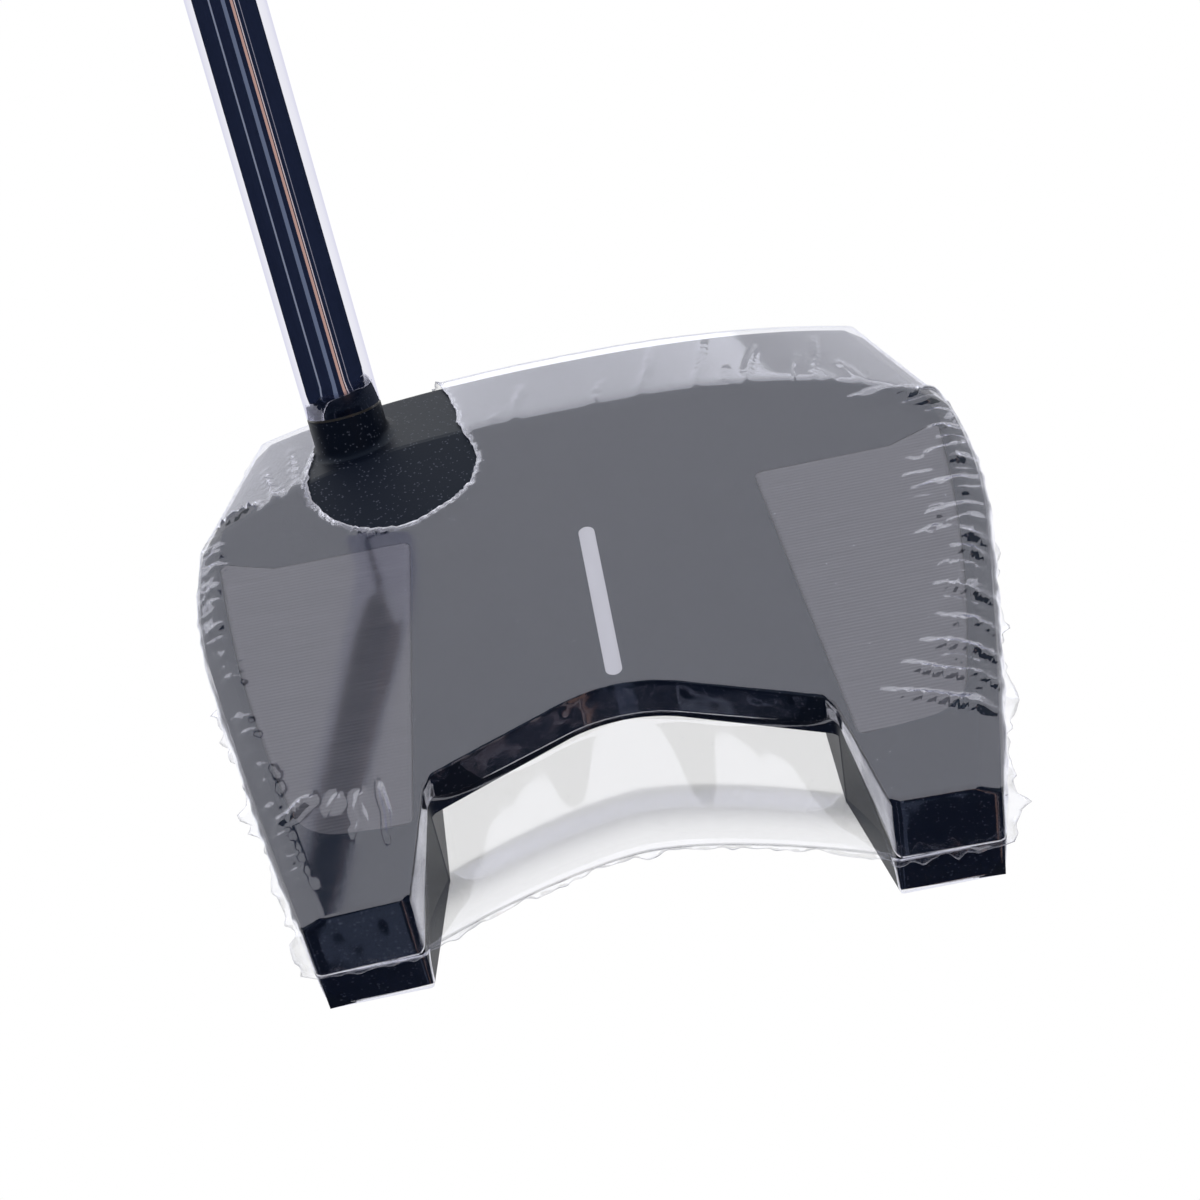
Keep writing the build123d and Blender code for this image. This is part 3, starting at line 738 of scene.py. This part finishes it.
t = np.linspace(0, 1, deep_count)[:, None]
grid = (1 - t)[..., None] * rear_line[None] + t[..., None] * front_line[None]
bulge = side_line - ((1 - t) * rear_line[0] + t * front_line[0])
grid[..., 0] -= bulge[:, None, 0] * (rear_line[:, 0] / rear_line[-1, 0])[None]
grid[..., 1] += bulge[:, None, 1]

noise_table = np.random.default_rng(7).random((97, 97))


def soft_noise(x, y):
    """Smooth noise from 0 to 1: a table of random heights, blended between its four nearest entries."""
    column, row = np.floor(x).astype(int), np.floor(y).astype(int)
    fx, fy = x - column, y - row
    fx, fy = fx * fx * (3 - 2 * fx), fy * fy * (3 - 2 * fy)
    size = len(noise_table)
    left, right, low, high = column % size, (column + 1) % size, row % size, (row + 1) % size
    near = noise_table[left, low] * (1 - fx) + noise_table[right, low] * fx
    far = noise_table[left, high] * (1 - fx) + noise_table[right, high] * fx
    return near * (1 - fy) + far * fy


def pleats(x, y, starts, ends, widths, heights):
    """Sum of long thin ridges, one for each start and end: a bell across the ridge, and a taper along it."""
    along = ends - starts
    length = np.linalg.norm(along, axis=1)
    way = along / length[:, None]
    total = np.zeros_like(x)
    for start, unit, run, width, height in zip(starts, way, length, widths, heights):
        dx, dy = x - start[0], y - start[1]
        share = (dx * unit[0] + dy * unit[1]) / run
        side = (dx * unit[1] - dy * unit[0]) + 0.35 * width * np.sin(9 * share + 7 * start[1])
        taper = np.clip(share, 0, 1) * np.clip(1 - share, 0, 1) * 4
        total += height * np.exp(-((side / width) ** 2)) * taper**0.7
    return total


chance = np.random.default_rng(11)


def rim_family(side, y_from, y_to, spacing, length, tilt, width, height, inset=0.0):
    """Pleats along one wing's rim, from the edge inwards, a little uneven in place, length and tilt."""
    y = np.arange(max(y_from, y_to), min(y_from, y_to), -spacing)
    y = y + chance.uniform(-0.35, 0.35, len(y)) * spacing
    reach = length * chance.uniform(0.6, 1.25, len(y))
    angle = math.radians(tilt) + chance.uniform(-0.16, 0.16, len(y))
    start = np.stack([side * (wing_x(y) + 0.4 - inset), y], axis=1)
    end = start + np.stack([-side * reach * np.cos(angle), reach * np.sin(angle)], axis=1)
    uneven_width = width * chance.uniform(0.75, 1.3, len(y))
    uneven_height = height * chance.uniform(0.6, 1.3, len(y))
    return start, end, uneven_width, uneven_height


families = [
    rim_family(-1, -5, -22, 1.05, 4.0, -14, 0.3, 0.5),
    rim_family(-1, -24, -30, 1.3, 3.4, -20, 0.3, 0.24, 1.5),
    rim_family(-1, -35, -41, 1.1, 3.2, -24, 0.32, 0.3, 1.2),
    rim_family(-1, -43, -48, 1.2, 2.6, -24, 0.32, 0.3, 2.0),
    rim_family(1, -4, -15, 0.95, 4.2, 6, 0.3, 0.55),
    rim_family(1, -13, -31, 1.15, 6.5, 4, 0.36, 0.6),
    rim_family(1, -16, -31, 2.2, 3.6, 12, 0.42, 0.55, 6.0),
    rim_family(1, -31, -42, 1.7, 7.0, 34, 0.42, 0.55, 0.6),
    rim_family(1, -42, -60, 2.0, 6.0, 30, 0.38, 0.4, 1.0),
    rim_family(-1, -50, -62, 1.6, 3.0, -30, 0.35, 0.35, 1.0),
]
# Long creases on the toe prong, short ones across the heel panel's rear edge, fans at the two ridge
# corners, and fine ones over the ridge and down the strip: each is (x, y, x, y, width, height).
single = np.array(
    [
        (45.6, -49.5, 36.0, -45.0, 0.6, 0.6), (44.8, -53.5, 33.0, -48.0, 0.65, 0.62),
        (43.6, -57.5, 29.8, -51.2, 0.6, 0.6), (46.4, -45.5, 38.6, -41.6, 0.5, 0.5),
        (47.4, -40.5, 39.6, -36.4, 0.5, 0.5), (44.0, -59.8, 33.5, -55.6, 0.3, 0.2),
        (-42.4, -53.8, -38.0, -50.2, 0.5, 0.5), (-40.6, -52.6, -37.4, -50.0, 0.4, 0.4),
        (-35.6, -53.0, -34.6, -50.6, 0.5, 0.4), (-31.8, -57.0, -32.4, -50.6, 0.5, 0.5),
        (-28.8, -59.2, -29.4, -50.0, 0.4, 0.5), (-33.0, -57.5, -31.6, -54.0, 0.3, 0.3),
        (-47.6, -3.4, -44.4, 0.4, 0.4, 0.6), (-46.6, -2.6, -43.2, 0.8, 0.4, 0.6),
        (-45.6, -2.0, -42.0, 1.0, 0.4, 0.55), (-44.0, -1.2, -41.4, 1.6, 0.35, 0.5),
        (-40.6, -0.6, -38.4, 3.8, 0.3, 0.35), (-37.4, 1.6, -35.4, 4.6, 0.28, 0.3),
        (48.6, -3.8, 42.2, -2.8, 0.7, 0.75), (48.8, -5.2, 43.4, -5.0, 0.55, 0.6),
        (46.8, -2.2, 38.6, -1.6, 0.5, 0.5), (42.4, -3.4, 36.8, -1.6, 0.4, 0.45),
        (36.0, 1.0, 34.4, 6.2, 0.3, 0.3), (33.2, 1.6, 35.8, 17.4, 0.35, 0.28),
        (30.6, 2.4, 32.6, 12.6, 0.3, 0.2), (39.8, 0.8, 37.2, 8.8, 0.35, 0.22),
        (24.0, 3.2, 27.6, 16.0, 0.4, 0.24), (21.4, 4.2, 22.8, 11.0, 0.3, 0.16),
        (17.6, 4.4, 21.2, 19.0, 0.4, 0.22), (10.4, 6.2, 13.8, 19.4, 0.4, 0.18),
        (4.2, 6.6, 6.0, 12.6, 0.3, 0.14), (-6.6, 6.8, -4.8, 15.6, 0.4, 0.16),
        (-9.4, 7.2, -8.6, 11.0, 0.25, 0.14), (-36.4, 2.6, -37.4, 15.8, 0.3, 0.25),
        (-39.4, 1.2, -41.0, 12.2, 0.3, 0.25),
    ]
)
starts = np.concatenate([family[0] for family in families] + [single[:, 0:2]])
ends = np.concatenate([family[1] for family in families] + [single[:, 2:4]])
widths = np.concatenate([0.85 * family[2] for family in families] + [0.75 * single[:, 4]])
heights = np.concatenate([1.15 * family[3] for family in families] + [1.7 * single[:, 5]])


def film_lift(x, y):
    """How far the film stands off the head, for places in plan: pleats, and faint waves all over."""
    waves = 0.05 * soft_noise(x / 11 + 40, y / 15 + 40)
    return waves + pleats(x, y, starts, ends, widths, heights)


# The torn window round the hosel, as a distance from its middle that changes with the direction.
window_middle = (-23.6, 4.2)
window_rim = np.array(
    [
        (-90, 12.9), (-62, 12.2), (-38, 12.4), (-12, 11.6), (8, 10.4), (27, 10.6), (48, 13.6), (62, 17.0),
        (76, 22.0), (90, 24.0), (104, 24.0), (121, 17.5), (140, 12.6), (158, 11.3), (180, 10.9), (206, 11.8),
        (238, 12.7), (270, 12.9),
    ]
)


def window_edge(x, y):
    """Distance outside the window's torn rim, negative inside: radius less the rim's radius that way."""
    dx, dy = x - window_middle[0], y - window_middle[1]
    angle = np.degrees(np.arctan2(dy, dx))
    angle = np.where(angle < -90, angle + 360, angle)
    tear = 0.28 * (soft_noise(angle / 2.3 + 200, 0 * angle) - 0.5)
    tear = tear + 0.12 * (soft_noise(angle + 200, 0 * angle) - 0.5)
    rim = np.interp(angle, window_rim[:, 0], window_rim[:, 1]) + tear
    return np.hypot(dx, dy) - rim


def web_edge_y(x):
    """Y of the web's free rear edge, which curves in between the prongs' ends."""
    return -59.3 - 8.1 * (np.abs(x) / 27.5) ** 1.57


def web_height(x, y):
    """Height of the web between the prongs: it leaves the shelf's lower rear edge, sags to the seam, and
    climbs a little where it meets the prongs' inner walls."""
    shelf = -42.2 - 8.7 * (np.abs(x) / 24.6) ** 1.05
    share = ((shelf - 0.5 - y) / (shelf - 0.5 - web_edge_y(x))).clip(0, 1)
    from_wall = ((25.2 + 3.1 * (-50.9 - y) / 16.3) - np.abs(x)).clip(0, 9)
    climb = 3.2 * np.exp(-from_wall / 1.6) * (1 - share**3)
    return 15.4 * (1 - share) ** 1.25 + seam_height * (1 - (1 - share) ** 1.25) + climb


# Skirt: from the rim down to the seam outside, and down to the web inside the notch.
rim_index = np.arange(deep_count * across_count).reshape(deep_count, across_count)
rim_sides = [rim_index[0, :-1], rim_index[:-1, -1], rim_index[-1, :0:-1], rim_index[:0:-1, 0]]
rim_loop = np.concatenate(rim_sides)
flat_grid = grid.reshape(-1, 2)
rim = flat_grid[rim_loop]
tangent = np.roll(rim, -1, axis=0) - np.roll(rim, 1, axis=0)
tangent = (np.roll(tangent, 1, axis=0) + 2 * tangent + np.roll(tangent, -1, axis=0)) / 4
outward = np.stack([tangent[:, 1], -tangent[:, 0]], axis=1) / np.linalg.norm(tangent, axis=1)[:, None]
in_notch = (np.abs(rim[:, 0]) < 27.9) & (rim[:, 1] < -42) & (rim[:, 1] > -67.3)
rim_top = head_top(rim[:, 0], rim[:, 1]) + film_gap
rim_foot = np.where(in_notch, web_height(rim[:, 0], rim[:, 1]), seam_height)
skirt_rows = 22
down = np.linspace(0, 1, skirt_rows)[1:, None]
skirt_z = rim_top[None] + (rim_foot - rim_top)[None] * down
rim_run = np.cumsum(np.linalg.norm(np.roll(rim, -1, axis=0) - rim, axis=1))
hang = 0.5 * soft_noise(rim_run[None] / 1.7 + 300 + 0 * down, 3 * down + 0 * rim_run[None]) ** 2
hang = hang + 0.35 * soft_noise(rim_run[None] / 5.0 + 2 * down, 2 * down + 50 + 0 * rim_run[None])
slack = np.where(in_notch, 0.25, np.where(rim[:, 1] < -66.0, 0.1, 1.0))
hang = hang * np.sin(math.pi * np.sqrt(down)) * slack[None]
bow = (0.12 + hang)[..., None]
skirt_xy = rim[None] + outward[None] * bow
lift = film_lift(flat_grid[:, 0], flat_grid[:, 1])
edge = window_edge(flat_grid[:, 0], flat_grid[:, 1])
lift = lift * np.clip((edge + 0.4) / 1.6, 0, 1) + 0.3 * np.exp(-np.abs(edge) / 0.35)
top_z_mm = head_top(flat_grid[:, 0], flat_grid[:, 1]) + film_gap + lift
top_points = np.column_stack([flat_grid, top_z_mm])
skirt_points = np.dstack([skirt_xy, skirt_z]).reshape(-1, 3)
film_points = np.concatenate([top_points, skirt_points])
loop_count = len(rim_loop)
skirt_index = len(top_points) + np.arange(len(skirt_points)).reshape(skirt_rows - 1, loop_count)
ladder = np.concatenate([rim_loop[None], skirt_index])
after = np.roll(ladder, -1, axis=1)
skirt_faces = np.stack([ladder[:-1], ladder[1:], after[1:], after[:-1]], axis=2).reshape(-1, 4)
film_faces = np.concatenate([grid_faces(deep_count, across_count), skirt_faces])

# The window is measured over the topline and on down the face, so y runs on past the edge by the drop.
# A face stays if one of its corners is farther out than reach, and its nearer corners move onto the rim.
face_drop = (head_top(film_points[:, 0], 21.0) - film_points[:, 2]).clip(0, None)
run_on = np.where(film_points[:, 1] > 20.5, face_drop, 0)
torn = window_edge(film_points[:, 0], film_points[:, 1] + run_on)
reach = 0.42
film_faces = film_faces[torn[film_faces].max(axis=1) > reach]
on_top = (torn < reach) & (run_on < 0.01)
spoke = film_points[:, :2] - window_middle
spoke /= np.linalg.norm(spoke, axis=1)[:, None]
film_points[on_top, :2] -= (spoke * torn[:, None])[on_top]
torn = np.where(on_top, 0, torn)
white = 0.75 * np.exp(-np.clip(torn, 0, None) / 0.13)
film_thick = 0.05


def film_piece(name, points, faces, frost):
    """A sheet of film with a real thickness; frost is how whitened each point is, from 0 to 1."""
    used = np.unique(faces)
    place = np.full(len(points), -1)
    place[used] = np.arange(len(used))
    piece = add_mesh(name, points[used] * MM, place[faces], film)
    stored = piece.data.attributes.new("frost", "FLOAT", "POINT")
    stored.data.foreach_set("value", np.clip(frost[used], 0, 1).astype(np.float32))
    solid = piece.modifiers.new("thickness", "SOLIDIFY")
    solid.thickness = film_thick * MM
    solid.offset = 1.0
    return piece


film = Finish("clear_film")
spot = film.place()
frost = film.stored("frost")
facing = film.add("LayerWeight", "Facing", None, {"Blend": 0.5})
mirror_share = 0.04 + 0.96 * facing.power(5.0)
dust = (film.cells(spot, 420.0) < 0.028) * (film.grain(spot, 60.0) > 0.5)
crinkle = film.grain(spot, 260.0, 5.0, 0.6)
film.set(
    Base_Color=(0.88, 0.89, 1.0, 1),
    Metallic=1.0 - frost,
    Roughness=0.04 + 0.05 * crinkle + 0.4 * frost,
    Alpha=(0.01 + mirror_share * 1.6 + 0.5 * frost + 0.5 * dust).clamped(),
)
film.bump(crinkle, 0.1, 0.00003)
upper_film = film_piece("film_upper", film_points, film_faces, white)
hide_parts("shrink_film")

# The web across the notch: rows from the shelf's rear edge to the weld, each running wall to wall.
web_rows, web_columns = 46, 121
across = np.linspace(-1, 1, web_columns)
deep = np.linspace(0, 1, web_rows)[:, None]
shelf_half = np.array([(24.7, -51.3), (23.5, -50.2), (6.5, -43.4), (4.4, -42.8), (2.2, -42.4), (0, -42.3)])
notch_rim = resampled(np.concatenate([shelf_half * [-1, 1], shelf_half[::-1][1:]]), web_columns)
weld_x = 27.45 * across
weld_line = np.stack([weld_x, web_edge_y(weld_x)], axis=1)
web_xy = (1 - deep[..., None]) * notch_rim[None] + deep[..., None] * weld_line[None]
web_z = web_height(web_xy[..., 0], web_xy[..., 1])
web_sway = 0.35 * (soft_noise(web_xy[..., 0] / 5 + 60, web_xy[..., 1] / 7 + 60) - 0.5)
web_z = web_z + web_sway * np.sin(math.pi * deep)
web_points = np.dstack([web_xy, web_z]).reshape(-1, 3)
weld_frost = np.repeat(0.3 * np.exp(-(1 - deep) / 0.008), web_columns, axis=1).reshape(-1)
web = film_piece("film_web", web_points, grid_faces(web_rows, web_columns)[:, ::-1], weld_frost)

# The lower half of the bag: from the weld down and under the sole, across the underside of the notch.
prong_end = np.array([(40.2, -68.0), (28.0, -67.9)])
lower_rear = np.concatenate([prong_end * [-1, 1], weld_line[1:-1], prong_end[::-1]])
lower_rear = resampled(lower_rear, across_count)
lower_rear[0], lower_rear[-1] = rear_line[0], rear_line[-1]
under = (1 - t)[..., None] * lower_rear[None] + t[..., None] * front_line[None]
under[..., 0] -= bulge[:, None, 0] * (lower_rear[:, 0] / lower_rear[-1, 0])[None]
under[..., 1] += bulge[:, None, 1]


def sole_z(x, y):
    """Height of the film under the sole: the flat pad, the camber beyond it, the rise to the rear, and a
    smooth ramp up to the weld across the open notch."""
    beyond = (np.abs(x) - 24).clip(0, 28)
    camber = 62 - np.sqrt(62**2 - beyond**2)
    rise = (3.2 * (-24 - y) / 43.6).clip(0, None)
    share = ((y - web_edge_y(x)) / 24).clip(0, 1)
    ramp = np.where(np.abs(x) < 27.7, seam_height - 0.05 - 10.0 * share**2 * (3 - 2 * share), -1)
    return np.maximum(np.maximum(camber, rise) - film_gap, ramp)


flat_under = under.reshape(-1, 2)
weld_loop = flat_under[rim_loop]
weld_tangent = np.roll(weld_loop, -1, axis=0) - np.roll(weld_loop, 1, axis=0)
weld_out = np.stack([weld_tangent[:, 1], -weld_tangent[:, 0]], axis=1)
weld_out /= np.linalg.norm(weld_tangent, axis=1)[:, None].clip(1e-6, None)
on_web = (np.abs(weld_loop[:, 0]) < 27.6) & (weld_loop[:, 1] < -50)
tuck = np.where(on_web, 0.6, 0.35)[:, None]
foot = weld_loop - weld_out * tuck
under_rows = 9
drop = np.linspace(0, 1, under_rows)[:, None]
side_xy = weld_loop[None] - weld_out[None] * (tuck[None] * drop[..., None] ** 1.5 - 0.12)
side_z = seam_height + (sole_z(foot[:, 0], foot[:, 1]) - seam_height)[None] * drop
side_points = np.dstack([side_xy, side_z]).reshape(-1, 3)
sole_points = np.column_stack([flat_under, sole_z(flat_under[:, 0], flat_under[:, 1])])
sole_points[rim_loop] = np.column_stack([side_xy[-1], side_z[-1]])
lower_points = np.concatenate([sole_points, side_points[:-loop_count]])
side_index = np.arange(len(sole_points), len(lower_points)).reshape(under_rows - 1, loop_count)
lower_ladder = np.concatenate([side_index, rim_loop[None]])
lower_after = np.roll(lower_ladder, -1, axis=1)
lower_sides = [lower_ladder[:-1], lower_ladder[1:], lower_after[1:], lower_after[:-1]]
lower_sides = np.stack(lower_sides, axis=2).reshape(-1, 4)
lower_faces = np.concatenate([grid_faces(deep_count, across_count)[:, ::-1], lower_sides])
lower_film = film_piece("film_lower", lower_points, lower_faces, np.zeros(len(lower_points)))

# The weld itself: the two halves' trimmed edge stands out as a ragged, whitened fin all round.
loop_run = np.cumsum(np.linalg.norm(np.roll(weld_loop, -1, axis=0) - weld_loop, axis=1))
ragged = soft_noise(loop_run / 1.3 + 500, 0 * loop_run) * 0.6 + soft_noise(loop_run / 6 + 700, 0 * loop_run)
fin_width = 0.2 + np.where(weld_loop[:, 1] < -8, 1.2, 0.6) * ragged**2
fin_width = np.where(on_web, 0.3 + 0.5 * ragged**2, fin_width)
fin_rows = 5
fin_share = np.linspace(0, 1, fin_rows)[:, None]
wave = 0.5 * (soft_noise(loop_run / 2.2 + 900, 0 * loop_run) - 0.5)
fin_xy = weld_loop[None] + weld_out[None] * (0.1 + fin_width[None] * fin_share)[..., None]
fin_z = seam_height + 0.1 + wave[None] * fin_share**2 * 2
fin_points = np.dstack([fin_xy, fin_z]).reshape(-1, 3)
fin_faces = grid_faces(fin_rows, loop_count, closed=True)
fin_frost = 0.02 + 0.12 * soft_noise(loop_run / 0.9 + 40, 0 * loop_run)
fin_frost = fin_frost[None] + 0.3 * fin_share**6
weld_fin = film_piece("film_weld_fin", fin_points, fin_faces, fin_frost.reshape(-1))
